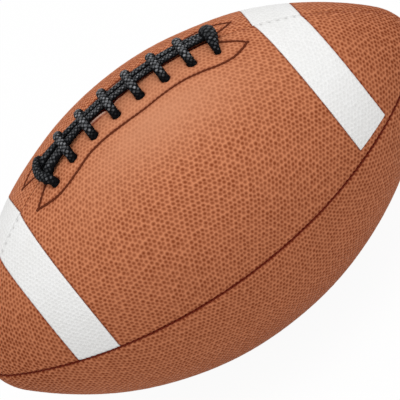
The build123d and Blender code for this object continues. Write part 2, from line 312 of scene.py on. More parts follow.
# Stitched outline beside the lacing as places along the axis and surface distances from the seam
outline_long = [(-0.0660, 0.0120), (-0.0620, 0.0146), (-0.0560, 0.0178), (-0.0490, 0.0193),
                (-0.0400, 0.0190), (-0.0290, 0.0171), (-0.0180, 0.0172), (-0.0060, 0.0185),
                (0.0060, 0.0194), (0.0160, 0.0186), (0.0290, 0.0179), (0.0390, 0.0186),
                (0.0490, 0.0198), (0.0560, 0.0189), (0.0620, 0.0158), (0.0665, 0.0122)]
outline_right = [(0.0665, 0.0122), (0.0645, 0.0098), (0.0605, 0.0069), (0.0560, 0.0040),
                 (0.0530, 0.0015)]
outline_left = [(-0.0660, 0.0120), (-0.0630, 0.0103), (-0.0600, 0.0085), (-0.0560, 0.0062),
                (-0.0530, 0.0030)]
outline_step = 0.001
outline_bends = 12
outline_shifts = {"front": 0.0, "rear": 0.0034}
outline_shift_fade = (0.038, 0.060)
outline_box = (0.075, 0.025)


def round_line(points, step):
    """A smooth line through points, resampled at an even step"""
    controls = np.array([points[0]] + points + [points[-1]])
    fine = []
    for a, b, c, d in zip(controls, controls[1:], controls[2:], controls[3:]):
        for t in np.linspace(0, 1, outline_bends, endpoint=False):
            fine.append(0.5 * (2 * b + (c - a) * t + (2 * a - 5 * b + 4 * c - d) * t**2
                               + (3 * b - a - 3 * c + d) * t**3))
    fine = np.array(fine + [controls[-1]])
    run = np.concatenate([[0], np.cumsum(np.linalg.norm(np.diff(fine, axis=0), axis=1))])
    even = np.linspace(0, run[-1], max(2, int(run[-1] / step) + 1))
    return np.stack([np.interp(even, run, fine[:, k]) for k in range(2)], axis=-1)


outline_lines = {}
for part, shift in outline_shifts.items():
    outline_lines[part] = []
    for points in (outline_long, outline_right, outline_left):
        x, e = round_line(points, outline_step).T
        e = e - shift * (1 - smooth_rise(np.abs(x), *outline_shift_fade))
        outline_lines[part].append(np.stack([main_radius * np.arcsin(x / main_radius), e], axis=-1))


def outline_distance(s, e, part):
    """Distance over the cover to the stitched outline, for the places near it"""
    far_off = 1.0
    distance = np.full(s.shape, far_off)
    near = (np.abs(s) < outline_box[0]) & (e < outline_box[1])
    spots = np.stack([s[near], e[near]], axis=-1)
    best = np.full(len(spots), far_off)
    for line in outline_lines[part]:
        for begin, end in zip(line[:-1], line[1:]):
            along = end - begin
            t = np.clip(((spots - begin) @ along) / (along @ along), 0, 1)
            best = np.minimum(best, np.linalg.norm(spots - begin - t[:, None] * along, axis=1))
    distance[near] = best
    return distance


rung_count = 8
rung_pitch = 0.015
last_rung = rung_count - 1
lacing_shift = 0.0014
rung_places = [rung_pitch * (i - last_rung / 2) + lacing_shift for i in range(rung_count)]
rung_leans = {"front": -0.0004, "rear": 0.0009}
hole_offsets = {"front": 0.0099, "rear": 0.0090}
end_holes = {("front", 0): (-0.0508, 0.0113), ("rear", 0): (-0.0500, 0.0094),
             ("front", last_rung): (0.0518, 0.0110), ("rear", last_rung): (0.0539, 0.0096)}
hole_radius = 0.0024
end_hole_radii = {("front", last_rung): 0.0013}
sag_depth = 0.0008
sag_start = (0.002, 0.014)
sag_end = (0.038, 0.065)
sag_length = (0.045, 0.080)


def hole_place(part, i):
    """Place along the axis and distance from the seam of one rung's lace hole in the front or rear panel"""
    return end_holes.get((part, i), (rung_places[i] + rung_leans[part], hole_offsets[part]))


def lacing_sag(s, e):
    """How far the rear panel lies under the round form beside the lacing, where the pull flattens it"""
    across = smooth_rise(e, *sag_start) * (1 - smooth_rise(e, *sag_end))
    return sag_depth * across * (1 - smooth_rise(np.abs(s), *sag_length))


slit_half = 0.0575
slit_end_fade = 0.003
slit_depth = 0.0022
slit_turn = 0.0009
slit_front_places = [-0.030, -0.0187, -0.0143, -0.0103, -0.0050, -0.0031, -0.0014, 0.004, 0.010]
slit_front_edges = [0.0012, 0.0025, 0.0027, 0.0033, 0.0034, 0.0025, 0.0022, 0.0015, 0.0011]
slit_rear_edge = 0.0034
slit_lips = {"front": 0.0005, "rear": -0.0018}
slit_lip_height = 0.0004
slit_lip_width = 0.0009
raw_spans = [(-0.0200, -0.0090, 1.0), (-0.0065, 0.0010, 0.5)]
raw_span_fade = 0.001
raw_lip_height = 0.0008
raw_lip_middle = 0.0003
raw_lip_width = 0.00042
raw_crease_middle = 0.0013
raw_crease_dark = 0.85
lace_seam_depth = 0.0003
lace_seam_reach = 0.0006
lace_seam_dark = 0.12
lace_seam_dark_reach = 0.0003
closing_stitch_pitch = 0.00447
closing_stitch_offset = 0.0016
closing_stitch_radius = 0.0008
closing_stitch_start = 0.069
closing_stitch_fade = 0.002
closing_stitch_depth = 0.0003
closing_stitch_dark = 0.75


def slit_marks(s, e, part):
    """Rise, painted shade and raw edge of a lace panel along the slit and the closed seam at its ends"""
    closed = smooth_rise(np.abs(s - lacing_shift), slit_half - slit_end_fade, slit_half + slit_end_fade)
    lift = -lace_seam_depth * np.exp(-(e / lace_seam_reach) ** 2) * closed
    # Painted shade along the closed lace seam, and in the slit where the hide turns down
    dark = lace_seam_dark * np.exp(-(e / lace_seam_dark_reach) ** 2) * closed
    edge = np.interp(s, slit_front_places, slit_front_edges) if part == "front" else slit_rear_edge
    turned = 1 - smooth_rise(e, edge - slit_turn, edge)
    lip = slit_lip_height * np.exp(-((e - edge - slit_lips[part]) / slit_lip_width) ** 2)
    lift = lift + (lip * (1 - turned) - slit_depth * turned) * (1 - closed)
    dark = dark + turned * (1 - closed)
    raw = np.zeros_like(e)
    if part == "front":
        bared = np.zeros_like(e)
        for low, high, share_bared in raw_spans:
            opening = smooth_rise(s, low, low + raw_span_fade)
            bared = bared + share_bared * opening * (1 - smooth_rise(s, high - raw_span_fade, high))
        raw = bared * np.exp(-((e - edge - raw_lip_middle) / raw_lip_width) ** 2)
        # Painted shadow in the crease under the raw lip, and painted shade in the stitch dimples
        crease = bared * np.exp(-((e - edge - raw_crease_middle) / raw_lip_width) ** 2)
        nearest = np.round(s / closing_stitch_pitch) * closing_stitch_pitch
        spot = np.hypot(s - nearest, e - closing_stitch_offset) / closing_stitch_radius
        stitched = smooth_rise(np.abs(s), closing_stitch_start, closing_stitch_start + closing_stitch_fade)
        dot = np.exp(-spot**2) * stitched
        lift = lift + raw_lip_height * raw - closing_stitch_depth * dot
        dark = dark + raw_crease_dark * crease + closing_stitch_dark * dot
    return lift, dark, raw


outline_groove = 0.0005
outline_reach = 0.00112
outline_dark = 0.5
hole_depth = 0.002
hole_edge = 0.0004
hole_dip = 0.0005
hole_dip_reach = 0.0045
hole_rim_dark = 0.3
hole_rim_width = 0.0009


def lacing_marks(s, e, part):
    """Rise and painted shade of a lace panel at its lace holes and its stitched outline"""
    stitch = np.exp(-(outline_distance(s, e, part) / outline_reach) ** 2)
    lift = -outline_groove * stitch
    # Painted shade in the outline groove
    dark = outline_dark * stitch
    for i in range(rung_count):
        hole_x, hole_e = hole_place(part, i)
        d = np.hypot(s - reach_of(hole_x), e - hole_e)
        radius = end_hole_radii.get((part, i), hole_radius)
        hole = 1 - smooth_rise(d, radius - hole_edge, radius + hole_edge)
        lift = lift - hole_depth * hole - hole_dip * np.exp(-(d / hole_dip_reach) ** 2)
        # Painted shade in the lace holes and round their rims
        dark = dark + hole + hole_rim_dark * np.exp(-((d - radius) / hole_rim_width) ** 2)
    if part == "rear":
        lift = lift - lacing_sag(s, e)
    return lift, dark


seam_depth = 0.0009
seam_roll = 0.0011
seam_pucker_share = 0.5
seam_stitch_pitch = 0.003
seam_dark_reach = 0.00062
seam_dark_least = 0.65
seam_dark_gain = 0.7
roll_dark_share = 0.2
tip_fade_radii = (0.001, 0.009)
tip_bold_share = 0.25
tip_bold_reach = (0.100, 0.150)
# Painted shade on the hide: darker towards the sewn seams, towards the tips and in the middle of the lower
# panels
painted_shade_seam_reach = 0.08
painted_shade_tip_fade = (0.085, 0.160)
low_middle_shade_share = 0.9
low_middle_shade_reach = (0.027, 0.054)
smooth_middle = 0.008
smooth_reach = 0.050
smooth_shares = {"front": 0.75, "rear": -0.30}
smooth_by_lace = 0.7
smooth_from_outline = (0.018, 0.029)
smooth_fade = (0.026, 0.064)
uneven_height = 0.00012
# Slow waves in the hide: radians a metre along the panel and radians across it
uneven_waves = [(71, 2), (33, 9)]


def cover_lift(s, share, part):
    """Height of the cover over the plain form, and its looks: painted shade in the hollows, bold grain,
    painted shade towards the sewn seams, the tips and the lower panels' middle, and raw edges. The share
    runs from a panel's first seam to its second; part is front or rear on a lace panel."""
    r = profile(s)[1]
    first, second = share * quarter * r, (1 - share) * quarter * r
    tip_fade = smooth_rise(r, *tip_fade_radii)
    beat = 0.5 + 0.5 * np.cos(2 * pi * s / seam_stitch_pitch)
    sewn = {"front": second, "rear": first}.get(part, np.minimum(first, second))
    roll = np.exp(-(sewn / (seam_roll * (1 + seam_pucker_share * (beat - 0.5)))) ** 2) * tip_fade
    lift = -seam_depth * roll
    # Painted shade along the seam grooves, beating with the stitches
    dark_reach = seam_dark_reach * (seam_dark_least + seam_dark_gain * beat)
    dark = np.exp(-(sewn / dark_reach) ** 2) + roll_dark_share * roll * beat
    bold = 1 + tip_bold_share * smooth_rise(np.abs(s), *tip_bold_reach)
    # Painted shade: the hide darkens towards the sewn seams and towards the tips
    painted_light = smooth_rise(sewn, 0.0, painted_shade_seam_reach) * (1 - smooth_rise(np.abs(s), *painted_shade_tip_fade))
    if part:
        e = first if part == "front" else second
        slit_lift, slit_dark, raw = slit_marks(s, e, part)
        lacing_lift, lacing_dark = lacing_marks(s, e, part)
        lift = lift + slit_lift * tip_fade + lacing_lift
        dark = dark + slit_dark + lacing_dark
        by_lace = smooth_by_lace + (1 - smooth_by_lace) * smooth_rise(e, *smooth_from_outline)
        across = by_lace * (1 - smooth_rise(e, *smooth_fade))
        smooth = np.exp(-((s - smooth_middle) / smooth_reach) ** 2) * across
        bold = bold * (1 - smooth_shares[part] * smooth)
    else:
        raw = np.zeros_like(painted_light)
        # Painted shade: the lower panels darken towards their middle
        painted_light = painted_light * (1 - low_middle_shade_share * smooth_rise(sewn, *low_middle_shade_reach))
    waves = [np.sin(along * s + around * share) for along, around in uneven_waves]
    lift = lift + uneven_height * waves[0] * waves[1]
    return lift, {"dark": np.clip(dark, 0, 1), "bold": bold, "painted_light": painted_light, "raw": raw}


def put_in(name, data):
    """A new object at the origin that holds a mesh, a line, a lamp or the camera"""
    thing = bpy.data.objects.new(name, data)
    bpy.context.scene.collection.objects.link(thing)
    return thing


coarse_step = 8
inner_unwrap_shift = 0.33


def shell_piece(name, outer, inner, places, looks):
    """Closed shell: a fine outer grid, a coarse inner grid under it and walls that join their edges"""
    columns, rows = outer.shape[:2]
    coarse_columns, coarse_rows = inner.shape[:2]
    top = np.arange(columns * rows).reshape(columns, rows)
    low = columns * rows + np.arange(coarse_columns * coarse_rows).reshape(coarse_columns, coarse_rows)
    outer_corners = [top[:-1, :-1], top[:-1, 1:], top[1:, 1:], top[1:, :-1]]
    faces = np.stack(outer_corners, axis=-1).reshape(-1, 4).tolist()
    outer_count = len(faces)
    inner_corners = [low[:-1, :-1], low[1:, :-1], low[1:, 1:], low[:-1, 1:]]
    faces += np.stack(inner_corners, axis=-1).reshape(-1, 4).tolist()
    edges = [(top[:, 0], low[:, 0]), (top[-1, :], low[-1, :]), (top[::-1, -1], low[::-1, -1]),
             (top[0, ::-1], low[0, ::-1])]
    for fine, coarse in edges:
        for k in range(len(coarse) - 1):
            span = fine[k * coarse_step:(k + 1) * coarse_step + 1]
            faces.append(span.tolist() + [int(coarse[k + 1]), int(coarse[k])])
    points = np.concatenate([outer.reshape(-1, 3), inner.reshape(-1, 3)])
    mesh = bpy.data.meshes.new(name)
    mesh.from_pydata(points.tolist(), [], faces)
    flags = np.zeros(len(faces), bool)
    flags[:outer_count] = True
    mesh.polygons.foreach_set("use_smooth", flags)
    for label, values in looks.items():
        look = mesh.attributes.new(label, "FLOAT", "POINT")
        look.data.foreach_set("value", np.concatenate([values.ravel(), np.zeros(low.size)]))
    inner_places = places[::coarse_step, ::coarse_step] - np.array([0.0, inner_unwrap_shift / unwrap_scale])
    spots = np.concatenate([places.reshape(-1, 2), inner_places.reshape(-1, 2)]) * unwrap_scale + 0.5
    corners = np.zeros(len(mesh.loops), int)
    mesh.loops.foreach_get("vertex_index", corners)
    unwrap = mesh.uv_layers.new(name="hide")
    unwrap.data.foreach_set("uv", spots[corners].ravel())
    mesh.update()
    return put_in(name, mesh)


raw_colour = (0.66, 0.46, 0.37, 1)


def look_of(start, name):
    """One of the looks that a mesh carries at its points"""
    return start.node("ShaderNodeAttribute", {"attribute_name": name}, {}, "Fac")


def hide_finish(name, ground, pit_colour, painted_shade_colour, painted_shade_tint, painted_sheen_tint):
    """Embossed leather, darker in its pits, with painted shade in the rolled edges, the slit, the stitch
    marks and the holes, painted shade towards the seams and tips, and a painted sheen where its grain is
    smooth
    """
    material, shader, start = start_finish(name)
    cloud = grain(start, 45.0, 4.0)
    fine = grain(start, 1800.0, 3.0)
    field = pit_field(start, start.node("ShaderNodeUVMap", {"uv_map": "hide"}))
    bold = look_of(start, "bold")
    pit = field * bold
    colour = pit.between(ground, pit_colour)
    colour = colour.tint(cloud.between((0.94, 0.93, 0.92, 1), (1.05, 1.05, 1.06, 1)))
    # Painted shade: darker towards the sewn seams, the tips and the lower panels' middle
    painted_light = look_of(start, "painted_light")
    colour = colour.tint(painted_light.between(painted_shade_tint, (1, 1, 1, 1)))
    # Painted sheen: the hide turns paler and cooler where its grain is smooth beside the lacing
    colour = colour.tint(bold.between(painted_sheen_tint, (1, 1, 1, 1)))
    colour = colour.tint(fine.between((0.88, 0.87, 0.86, 1), (1.12, 1.13, 1.14, 1)))
    raw = look_of(start, "raw")
    colour = raw.between(colour, raw_colour)
    # Painted shade in the seams, the slit, the stitch marks, the outline groove and the holes
    painted_shade_mask = look_of(start, "dark")
    feed(shader, "Base Color", painted_shade_mask.between(colour, painted_shade_colour))
    feed(shader, "Roughness", 0.48 + pit * 0.2 + fine * 0.12)
    emboss = relief(start, 1 - pit, 0.00025, 0.6)
    feed(shader, "Normal", relief(start, fine, 0.00006, 0.5, emboss))
    shader.inputs["Specular IOR Level"].default_value = 0.05
    return material


def start_tree(name, inputs, output):
    """A new Geometry Nodes tree and the identifiers of its named inputs"""
    tree = bpy.data.node_groups.new(name, "GeometryNodeTree")
    identifiers = {}
    for label, kind in inputs.items():
        socket = tree.interface.new_socket(label, in_out="INPUT", socket_type="NodeSocket" + kind)
        identifiers[label] = socket.identifier
    tree.interface.new_socket(output, in_out="OUTPUT", socket_type="NodeSocketGeometry")
    return tree, identifiers


def plain_mesh(thing):
    """The mesh of an object as its modifiers leave it"""
    bpy.context.view_layer.update()
    return bpy.data.meshes.new_from_object(thing.evaluated_get(bpy.context.evaluated_depsgraph_get()))


def grown_mesh(thing, tree, identifiers, values):
    """The mesh that a Geometry Nodes tree makes of an object, with its named inputs set"""
    growing = thing.modifiers.new("growing", "NODES")
    growing.node_group = tree
    for label, value in values.items():
        growing[identifiers[label]] = value
    return plain_mesh(thing)


def emboss_tree():
    """Geometry Nodes that sink the pits of the hide into a panel"""
    inputs = {"Panel": "Geometry", "Depth": "Float", "Hide": "Material"}
    tree, identifiers = start_tree("emboss", inputs, "Embossed")
    start = Signal(tree)
    panel = start.node("NodeGroupInput", {}, {}, "Panel")
    spot = start.node("GeometryNodeInputNamedAttribute", {"data_type": "FLOAT_VECTOR"}, {"Name": "hide"})
    bold = start.node("GeometryNodeInputNamedAttribute", {"data_type": "FLOAT"}, {"Name": "bold"})
    sunk = pit_field(start, spot) * bold * panel.beside("Depth") * -1.0
    inwards = start.node("ShaderNodeVectorMath", {"operation": "SCALE"},
                         {0: start.node("GeometryNodeInputNormal"), "Scale": sunk})
    pressed = start.node("GeometryNodeSetPosition", {}, {"Geometry": panel, "Offset": inwards})
    real = start.node("GeometryNodeRealizeInstances", {}, {"Geometry": pressed})
    finish = {"Geometry": real, "Material": panel.beside("Hide")}
    dressed = start.node("GeometryNodeSetMaterial", {}, finish)
    start.node("NodeGroupOutput", {}, {"Embossed": dressed}, None)
    return tree, identifiers


emboss, emboss_inputs = emboss_tree()


def press_pits(piece, depth, material):
    """Embosses a panel and gives it its material, as a plain mesh"""
    plain = piece.data
    piece.data = grown_mesh(piece, emboss, emboss_inputs, {"Depth": depth, "Hide": material})
    piece.modifiers.clear()
    bpy.data.meshes.remove(plain)


# Cover hide: its ground and pit colours, the colour of the painted shade in its hollows, and the tints of
# its painted shade and painted sheen
cover_hide = hide_finish("cover_hide", ground=(0.637, 0.236, 0.113, 1), pit_colour=(0.255, 0.057, 0.0175, 1),
                         painted_shade_colour=(0.14, 0.006, 0.001, 1), painted_shade_tint=(0.87, 0.83, 0.815, 1),
                         painted_sheen_tint=(0.92, 1.085, 1.24, 1))

quarters = {"top_rear": 0, "top_front": 1, "bottom_front": 2, "bottom_rear": 3}
lace_parts = {"top_rear": "rear", "top_front": "front"}
stripe_spans = {}
stripe_growths = {"left": (0.0004, 0.0), "right": (0.0, 0.0006)}
for end in ("left", "right"):
    for part in ("front", "rear"):
        stripe_low, stripe_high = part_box("stripe_" + end + "_" + part)
        growth_low, growth_high = stripe_growths[end]
        low = reach_of(stripe_low.x) - growth_low
        high = reach_of(stripe_high.x) + growth_high
        stripe_spans["top_" + part, end] = (low, high)
stripe_recess = 0.0005
stripe_border = 0.0003
stripe_border_dark = 0.45
stripe_edge_pair = 0.0002
stripe_edge_slack = 1e-6
stripe_seam_margins = {"left": 0.0, "right": 0.0042}
stripe_flares = {"front": (0.0022, 0.0014), "rear": (0.0009, 0.0)}
stripe_flare_reach = 0.009
stripe_flare_fades = (0.018, 0.008)


def flare(s, share, panel):
    """Surface distances of a panel's grid, bent so that its stripes lean to the middle at the lace seam"""
    if panel not in lace_parts:
        return s
    part = lace_parts[panel]
    e = (share if part == "front" else 1 - share) * quarter * profile(s)[1]
    inner, outer = np.sort(np.abs(stripe_spans[panel, "right"]))
    bent = np.abs(s)
    for edge, size, fade in zip((inner, outer), stripe_flares[part], stripe_flare_fades):
        bent = bent - size * np.exp(-e / fade) * np.exp(-(((np.abs(s) - edge) / stripe_flare_reach) ** 2))
    return np.sign(s) * bent


seam_gap = 0.00004
edge_rows = 16
edge_reach = 0.004
middle_rows = 160
column_pitch = 0.00072
tip_hole = 0.0004
belly_width = quarter * belly_radius
edge_shares = np.linspace(seam_gap, edge_reach, edge_rows + 1) / belly_width
middle_shares = np.linspace(edge_shares[-1], 1 - edge_shares[-1], middle_rows + 1)[1:-1]
row_shares = np.concatenate([edge_shares, middle_shares, 1 - edge_shares[::-1]])
end_reach = half_reach - tip_hole


def panel_columns(spans):
    """Surface distances of a panel's columns, with pairs moved to the edges of its stripes"""
    count = int(2 * end_reach / column_pitch / coarse_step) * coarse_step
    columns = np.linspace(-end_reach, end_reach, count + 1)
    for low, high in spans:
        first = int(np.searchsorted(columns, low))
        last = int(np.searchsorted(columns, high)) - 1
        columns[first], columns[first - 1] = low, low - stripe_edge_pair
        columns[last], columns[last + 1] = high, high + stripe_edge_pair
    return columns


valve_hole_depth = 0.0022
valve_hole_radii = (0.0029, 0.0035)
valve_dark_radii = (0.0030, 0.0040)
for name, turns in quarters.items():
    spans = {end: span for (panel, end), span in stripe_spans.items() if panel == name}
    plain_s, share = np.meshgrid(panel_columns(spans.values()), row_shares, indexing="ij")
    s = flare(plain_s, share, name)
    phi = (turns + share) * quarter
    lift, looks = cover_lift(s, share, lace_parts.get(name))
    dark = looks["dark"]
    places = flatten(s, share)
    for end, (low, high) in spans.items():
        from_lace = share if name == "top_front" else 1 - share
        bed = from_lace < 1 - stripe_seam_margins[end] / (quarter * profile(high)[1])
        inside = bed & (plain_s >= low - stripe_edge_slack) & (plain_s <= high + stripe_edge_slack)
        lift = np.where(inside, lift - stripe_recess, lift)
        # Painted shade along the step at each stripe's border
        border = bed & (plain_s > low - stripe_border) & (plain_s < high + stripe_border)
        dark = np.where(border, np.maximum(dark, stripe_border_dark), dark)
    if name == "bottom_rear":
        valve_distance = np.hypot(places[..., 0], places[..., 1])
        lift = lift - valve_hole_depth * (1 - smooth_rise(valve_distance, *valve_hole_radii))
        # Painted shade in the valve hole
        dark = np.maximum(dark, 1 - smooth_rise(valve_distance, *valve_dark_radii))
    outer = surface(s, phi, lift)
    inner_s, inner_phi = s[::coarse_step, ::coarse_step], phi[::coarse_step, ::coarse_step]
    inner = surface(inner_s, inner_phi, np.full(inner_s.shape, -cover_thickness))
    looks["dark"] = dark
    piece = shell_piece("cover_" + name, outer, inner, places, looks)
    press_pits(piece, pit_depth, cover_hide)
    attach(piece, "root")
    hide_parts("panel_" + name)


# Stripes: four half bands of white composite leather on the two lace panels, let into the
# cover and bonded. The left ones reach the side seams, the right ones stop a little short of
# them. They carry a finer grain.

# Stripe hide: its hollows take painted shade; it carries no painted shade tint or painted sheen
stripe_hide = hide_finish("stripe_hide", ground=(0.865, 0.865, 0.855, 1), pit_colour=(0.80, 0.80, 0.79, 1),
                          painted_shade_colour=(0.42, 0.41, 0.40, 1), painted_shade_tint=(1, 1, 1, 1), painted_sheen_tint=(1, 1, 1, 1))
stripe_columns = 32
stripe_side_gap = 0.00012
stripe_base = 0.00045
stripe_pit_depth = 0.00007
stripe_edge_drop = 0.0002
stripe_edge_reach = 0.0006

for (panel, end), (low, high) in stripe_spans.items():
    part = lace_parts[panel]
    margin = stripe_seam_margins[end] / (quarter * profile(high)[1])
    shares = row_shares * (1 - margin)
    if part == "rear":
        shares = shares + margin
    columns = np.linspace(low + stripe_side_gap, high - stripe_side_gap, stripe_columns + 1)
    plain_s, share = np.meshgrid(columns, shares, indexing="ij")
    s = flare(plain_s, share, panel)
    phi = (quarters[panel] + share) * quarter
    lift, looks = cover_lift(s, share, part)
    edge = np.minimum(plain_s - columns[0], columns[-1] - plain_s)
    lift = lift - stripe_edge_drop * np.exp(-((edge / stripe_edge_reach) ** 2))
    outer = surface(s, phi, lift)
    inner = surface(s, phi, lift - stripe_base)[::coarse_step, ::coarse_step]
    piece = shell_piece("stripe_" + end + "_" + panel, outer, inner, flatten(s, share), looks)
    press_pits(piece, stripe_pit_depth, stripe_hide)
    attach(piece, "root")
    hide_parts("stripe_" + end + "_" + part)


# Seam threads: waxed lock stitches that draw the panel edges together, deep in the grooves.
# The top row stops at both ends of the lacing slit.


def thread_finish(name, dark, light, shine):
    """Waxed thread, with its twist in its colour and its relief"""
    material, shader, start = start_finish(name)
    twist = grain(start, 3000.0)
    feed(shader, "Base Color", twist.between(dark, light))
    feed(shader, "Roughness", 0.5 + twist * 0.25)
    feed(shader, "Normal", relief(start, twist, 0.0001))
    shader.inputs["Specular IOR Level"].default_value = shine
    return material


def stitch_tree(name, material):
    """Geometry Nodes that lay one stitch after another along a line"""
    inputs = {"Line": "Geometry", "Pitch": "Float", "Length": "Float", "Thickness": "Float"}
    tree, identifiers = start_tree(name, inputs, "Stitches")
    start = Signal(tree)
    given = start.node("NodeGroupInput", {}, {}, "Line")
    length, thickness = given.beside("Length"), given.beside("Thickness")
    line = start.node("GeometryNodeMeshToCurve", {}, {"Mesh": given})
    spacing = {"Curve": line, "Length": given.beside("Pitch")}
    spaced = start.node("GeometryNodeResampleCurve", {"mode": "LENGTH"}, spacing)
    tangent = start.node("GeometryNodeInputTangent")
    facing = start.node("FunctionNodeAlignRotationToVector", {"axis": "X"}, {"Vector": tangent})
    bead = start.node("GeometryNodeMeshUVSphere", {}, {"Segments": 8, "Rings": 6, "Radius": 0.5})
    size = start.node("ShaderNodeCombineXYZ", {}, {"X": length, "Y": thickness, "Z": thickness})
    beads = {"Points": spaced, "Instance": bead, "Rotation": facing, "Scale": size}
    stitches = start.node("GeometryNodeInstanceOnPoints", {}, beads)
    real = start.node("GeometryNodeRealizeInstances", {}, {"Geometry": stitches})
    smooth = start.node("GeometryNodeSetShadeSmooth", {}, {"Geometry": real})
    dressed = start.node("GeometryNodeSetMaterial", {}, {"Geometry": smooth, "Material": material})
    start.node("NodeGroupOutput", {}, {"Stitches": dressed}, None)
    return tree, identifiers


def stitch_piece(name, lines, tree, identifiers, sizes):
    """Rows of stitches along lines of points, as one plain mesh"""
    points, edges = [], []
    for line in lines:
        edges += [(len(points) + k, len(points) + k + 1) for k in range(len(line) - 1)]
        points += [tuple(point) for point in line]
    guide_mesh = bpy.data.meshes.new(name + "_guide")
    guide_mesh.from_pydata(points, edges, [])
    guide = put_in(name + "_guide", guide_mesh)
    mesh = grown_mesh(guide, tree, identifiers, sizes)
    mesh.name = name
    bpy.data.objects.remove(guide)
    return put_in(name, mesh)


seam_thread = thread_finish("thread_wax", (0.10, 0.009, 0.003, 1), (0.17, 0.019, 0.007, 1), 0.05)
stitches, stitch_inputs = stitch_tree("lock_stitches", seam_thread)
seam_thread_depth = 0.00090
lace_seam_thread_depth = 0.0016
seam_thread_sizes = {"Pitch": seam_stitch_pitch, "Length": 0.0029, "Thickness": 0.00140}
seam_tip_trim = 0.0025
seam_points = 300
short_seam_points = 120
slit_end = 0.0665
seams = {"rear": (0, 0.0), "top": (1, reach_of(slit_end)), "front": (2, 0.0), "bottom": (3, 0.0)}
for place, (turns, begin) in seams.items():
    last = half_reach - seam_tip_trim
    if begin:
        runs = [np.linspace(-last, -begin, short_seam_points), np.linspace(begin, last, short_seam_points)]
    else:
        runs = [np.linspace(-last, last, seam_points)]
    depth = lace_seam_thread_depth if place == "top" else seam_thread_depth
    lines = [surface(run, np.full(run.shape, turns * quarter), np.full(run.shape, -depth)) for run in runs]
    piece = stitch_piece("stitches_" + place, lines, stitches, stitch_inputs, seam_thread_sizes)
    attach(piece, "root")
    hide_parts("seam_thread_" + place)


# Outline threads: a row of dark brown stitches that holds each facing to its panel, round a
# shape with notched ends beside the lacing.

outline_thread = thread_finish("outline_thread", (0.082, 0.016, 0.006, 1), (0.150, 0.036, 0.015, 1), 0.02)
outline_stitches, outline_inputs = stitch_tree("outline_stitches", outline_thread)
outline_sizes = {"Pitch": 0.0026, "Length": 0.0038, "Thickness": 0.00200}
outline_thread_depth = 0.00090
for part, side in (("front", 1), ("rear", -1)):
    lines = []
    for line in outline_lines[part]:
        run, offset = line[:, 0], line[:, 1]
        phi = quarter + side * offset / profile(run)[1]
        sag = lacing_sag(run, offset) if part == "rear" else 0.0
        lines.append(surface(run, phi, np.full(run.shape, -outline_thread_depth) - sag))
    piece = stitch_piece("outline_stitches_" + part, lines, outline_stitches, outline_inputs, outline_sizes)
    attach(piece, "root")
    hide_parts("facing_thread_" + part)


# Lace: one black braid of ten yarns round a core, pulled tight. It runs along the slit, comes
# back in rungs through the holes of both panels, and runs along the slit again beside itself. Its yarn
# crests carry painted glints.

lace_radius = 0.0021
strand_sides = {"front": -0.0011, "rear": 0.0027}
strand_left_sides = {"front": -0.0050, "rear": 0.0038}
strand_right_sides = {"front": 0.0003, "rear": 0.0040}
strand_stops = {"front": [-0.0026, -0.0010, -0.0015, -0.0014, -0.0007, -0.0002],
                "rear": [0.0041, 0.0037, 0.0029, 0.0035, 0.0043, 0.0041]}
strand_sizes = {"front": [1.18, 0.95, 0.88, 0.87, 0.87, 0.87],
                "rear": [0.95, 0.90, 0.88, 0.88, 0.90, 0.90]}
strand_last_sides = {"front": 0.0006, "rear": 0.0037}
strand_end_sizes = (1.42, 1.0)
strand_height = 0.0029
rung_top = 0.0066
rung_shoulders = {"front": (0.0092, 0.0034), "rear": (0.0082, 0.0030)}
rung_feet = {"front": 0.0110, "rear": 0.0104}
rung_sizes = (1.17, 1.05, 1.15)
inner_depth = 0.0100
strand_dives = (-0.0530, 0.0548)
strand_last_run = 0.0045
strand_spacing = 0.0155
lace_tail = 0.010


def over_seam(x, sideways, height, size=1.0):
    """Place above the lace seam at x, to one side of it, and the lace's size there"""
    return (x, sideways, axis_height + sqrt(main_radius**2 - x**2) + main_centre + height, size)


def strand_route(part):
    """One run along the slit, from left to right"""
    left_y, right_y = strand_left_sides[part], strand_right_sides[part]
    left, right = strand_dives
    left_size, right_size = strand_end_sizes
    sides, sizes = strand_stops[part], strand_sizes[part]
    places = [over_seam(left, left_y, height, left_size) for height in (-inner_depth, strand_height)]
    for i, (side, size) in enumerate(zip(sides, sizes)):
        places.append(over_seam(strand_spacing * (i - (len(sides) - 1) / 2), side, strand_height, size))
    places.append(over_seam(right - strand_last_run, strand_last_sides[part], strand_height, sizes[-1]))
    places += [over_seam(right, right_y, height, right_size) for height in (strand_height, -inner_depth)]
    return places


def rung_route(i):
    """One rung, up through the front panel, over both strands and down through the rear panel"""
    x, front, rear = rung_places[i], hole_place("front", i)[0], hole_place("rear", i)[0]
    front_size, top_size, rear_size = rung_sizes
    front_out, front_height = rung_shoulders["front"]
    rear_out, rear_height = rung_shoulders["rear"]
    return [over_seam(front, -rung_feet["front"], -inner_depth),
            over_seam(front, -front_out, front_height, front_size),
            over_seam(x, strand_sides["front"], rung_top, top_size),
            over_seam(x, strand_sides["rear"], rung_top, top_size),
            over_seam(rear, rear_out, rear_height, rear_size),
            over_seam(rear, rung_feet["rear"], -inner_depth)]


